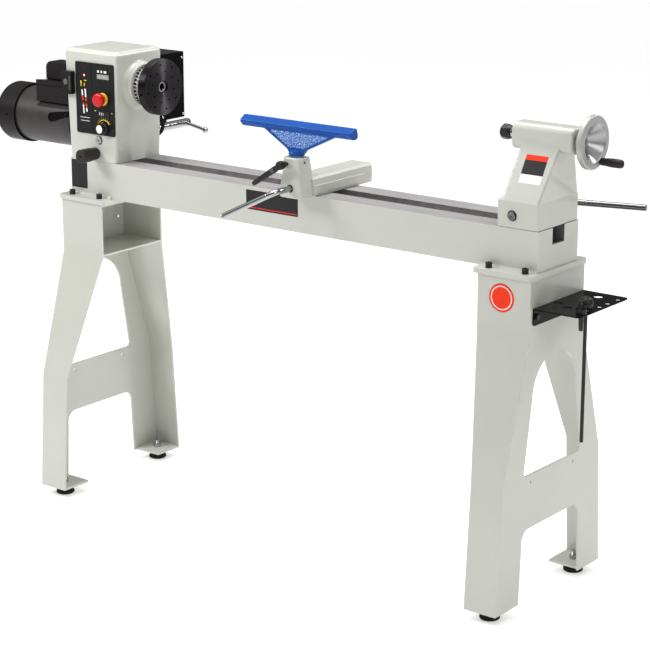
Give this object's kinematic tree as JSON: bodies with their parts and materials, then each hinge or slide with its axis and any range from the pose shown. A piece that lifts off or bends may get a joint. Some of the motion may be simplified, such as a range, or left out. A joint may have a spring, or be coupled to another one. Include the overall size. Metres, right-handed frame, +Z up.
{
  "type": "wood lathe",
  "caption": "Floor-standing wood lathe: cast bed on folded steel legs, motor headstock with faceplate, sliding banjo with tool rest, and tailstock with handwheel quill.",
  "frame": {"origin": "centre of the bounding box, on the floor", "axes": "+X along the bed from headstock to tailstock, -Y towards the operator, +Z up"},
  "size_m": [1.939, 0.5514, 1.226],
  "materials": {
    "enamel": "semi-gloss light grey enamel",
    "black_oxide": "black oxide steel",
    "rubber": "matt black rubber",
    "zinc": "zinc plated",
    "rack_paint": "gloss black paint",
    "bearing_steel": "machined steel",
    "grey_iron": "raw grey iron",
    "chrome": "polished chrome",
    "black_plastic": "moulded black plastic",
    "grey_plastic": "moulded grey plastic",
    "display": "tinted display window",
    "yellow_plastic": "yellow plastic",
    "red_plastic": "red plastic",
    "black_paint": "satin black paint",
    "cast_aluminium": "turned aluminium",
    "blue_paint": "gloss blue paint on rough casting"
  },
  "bodies": {
    "stand": {"bed": "enamel", "left_leg": "enamel", "right_leg": "enamel", "bed_bolts": "black_oxide", "levelling_feet": "rubber", "foot_studs": "zinc", "foot_nuts": "zinc", "tool_rack": "rack_paint", "rack_bolts": "black_oxide"},
    "knockout_bar": {"knockout_bar": "black_oxide"},
    "drive_centre": {"drive_centre": "black_oxide"},
    "headstock": {"headstock": "enamel", "end_cover": "enamel", "cover_screws": "zinc", "ball_bearings": "bearing_steel", "headstock_clamp": "grey_iron", "control_panel": "black_plastic", "speed_display": "display", "estop_collar": "yellow_plastic", "latch_housing": "black_plastic", "control_box": "black_paint", "box_cover": "black_paint", "cable_glands": "black_plastic", "control_cable": "rubber", "drive_belt": "rubber", "motor_shell": "black_paint", "motor_flange": "black_paint", "motor_bolts": "black_oxide", "stator": "grey_iron", "fan_cover": "black_paint", "terminal_box": "black_paint", "capacitor_cover": "black_paint"},
    "spindle": {"spindle": "bearing_steel", "spindle_pulley": "cast_aluminium", "index_ring": "bearing_steel", "faceplate": "black_oxide"},
    "rotor": {"rotor": "bearing_steel", "motor_pulley": "cast_aluminium", "cooling_fan": "black_plastic"},
    "estop_button": {"estop_button": "red_plastic"},
    "speed_knob": {"speed_knob": "black_plastic"},
    "direction_switch": {"direction_switch": "black_plastic"},
    "latch_button": {"latch_button": "grey_plastic"},
    "push_grip": {"push_grip": "black_plastic"},
    "headstock_lever": {"headstock_lever": "chrome"},
    "banjo_saddle": {"banjo_clamp_plate": "grey_iron"},
    "banjo_swivel": {"banjo_clamp_bolt": "bearing_steel"},
    "banjo": {"banjo": "enamel"},
    "banjo_lever": {"banjo_lever": "chrome"},
    "tool_post": {"tool_post": "bearing_steel"},
    "tool_rest": {"tool_rest": "blue_paint"},
    "rest_lock_lever": {"rest_lock_lever": "black_plastic"},
    "tailstock": {"tailstock": "enamel", "tailstock_clamp": "grey_iron"},
    "tailstock_lever": {"tailstock_lever": "chrome"},
    "quill": {"quill": "chrome"},
    "live_centre": {"live_centre": "black_oxide"},
    "handwheel": {"handwheel": "cast_aluminium", "lead_screw": "bearing_steel"},
    "crank_grip": {"crank_grip": "black_plastic"}
  },
  "joints": [
    {"name": "headstock_slide", "type": "slide", "parent": "stand", "child": "headstock", "axis": [1, 0, 0], "range_m": [0, 0.4]},
    {"name": "spindle_spin", "type": "hinge", "parent": "headstock", "child": "spindle", "pos_m": [-0.5735, 0.00374, 1.1335], "axis": [1, 0, 0], "continuous": true},
    {"name": "motor_spin", "type": "hinge", "parent": "headstock", "child": "rotor", "pos_m": [-0.7735, 0.00374, 1.016], "axis": [1, 0, 0], "continuous": true},
    {"name": "estop_press", "type": "slide", "parent": "headstock", "child": "estop_button", "axis": [0, 1, 0], "range_m": [0, 0.004], "stiffness_N_per_m": 800},
    {"name": "speed_turn", "type": "hinge", "parent": "headstock", "child": "speed_knob", "pos_m": [-0.5435, -0.09626, 1.0207], "axis": [0, 1, 0], "range_deg": [-135, 135]},
    {"name": "direction_rock", "type": "hinge", "parent": "headstock", "child": "direction_switch", "pos_m": [-0.5425, -0.08526, 1.059], "axis": [0, 0, 1], "range_deg": [-8, 8]},
    {"name": "latch_press", "type": "slide", "parent": "headstock", "child": "latch_button", "axis": [0, 1, 0], "range_m": [0, 0.003], "stiffness_N_per_m": 400},
    {"name": "push_grip_spin", "type": "hinge", "parent": "headstock", "child": "push_grip", "pos_m": [-0.5775, -0.10626, 0.949], "axis": [0, 1, 0], "continuous": true},
    {"name": "headstock_clamp_turn", "type": "hinge", "parent": "headstock", "child": "headstock_lever", "pos_m": [-0.5655, 0.10374, 0.9865], "axis": [0, 1, 0], "range_deg": [-100, 60]},
    {"name": "banjo_slide", "type": "slide", "parent": "stand", "child": "banjo_saddle", "axis": [1, 0, 0], "range_m": [-0.42, 0.34]},
    {"name": "banjo_turn", "type": "hinge", "parent": "banjo_saddle", "child": "banjo_swivel", "pos_m": [0.1345, 0.00374, 0.928], "axis": [0, 0, 1], "range_deg": [-8, 40]},
    {"name": "banjo_reach", "type": "slide", "parent": "banjo_swivel", "child": "banjo", "axis": [0, 1, 0], "range_m": [-0.05, 0.05]},
    {"name": "banjo_clamp_turn", "type": "hinge", "parent": "banjo", "child": "banjo_lever", "pos_m": [0.1345, -0.09626, 0.952], "axis": [0, 1, 0], "range_deg": [-90, 20]},
    {"name": "rest_height", "type": "slide", "parent": "banjo", "child": "tool_post", "axis": [0, 0, 1], "range_m": [0, 0.04]},
    {"name": "rest_turn", "type": "hinge", "parent": "tool_post", "child": "tool_rest", "pos_m": [0.1345, -0.11126, 1.048], "axis": [0, 0, 1], "range_deg": [-60, 60]},
    {"name": "rest_lock_turn", "type": "hinge", "parent": "banjo", "child": "rest_lock_lever", "pos_m": [0.1225, -0.14626, 1.012], "axis": [0, 1, 0], "range_deg": [-40, 36]},
    {"name": "tailstock_slide", "type": "slide", "parent": "stand", "child": "tailstock", "axis": [1, 0, 0], "range_m": [-0.4, 0]},
    {"name": "tailstock_clamp_turn", "type": "hinge", "parent": "tailstock", "child": "tailstock_lever", "pos_m": [0.7475, 0.00374, 0.9574], "axis": [0, 1, 0], "range_deg": [-90, 20]},
    {"name": "handwheel_turn", "type": "hinge", "parent": "tailstock", "child": "handwheel", "pos_m": [0.8665, 0.00374, 1.1335], "axis": [-1, 0, 0], "range_deg": [0, 5760]},
    {"name": "quill_feed", "type": "slide", "parent": "tailstock", "child": "quill", "axis": [-1, 0, 0], "range_m": [0, 0.08]},
    {"name": "live_centre_spin", "type": "hinge", "parent": "quill", "child": "live_centre", "pos_m": [0.6665, 0.00374, 1.1335], "axis": [1, 0, 0], "continuous": true},
    {"name": "crank_grip_spin", "type": "hinge", "parent": "handwheel", "child": "crank_grip", "pos_m": [0.9265, 0.02874, 1.087], "axis": [1, 0, 0], "continuous": true},
    {"name": "knockout_lift", "type": "slide", "parent": "stand", "child": "knockout_bar", "axis": [0, 0, 1], "range_m": [0, 0.3]},
    {"name": "drive_centre_lift", "type": "slide", "parent": "stand", "child": "drive_centre", "axis": [0, 0, 1], "range_m": [0, 0.06]}
  ],
  "couplings": [
    {"joint": "motor_spin", "follows": "spindle_spin", "ratio": 2},
    {"joint": "quill_feed", "follows": "handwheel_turn", "m_per_rad": 0.00079577}
  ]
}
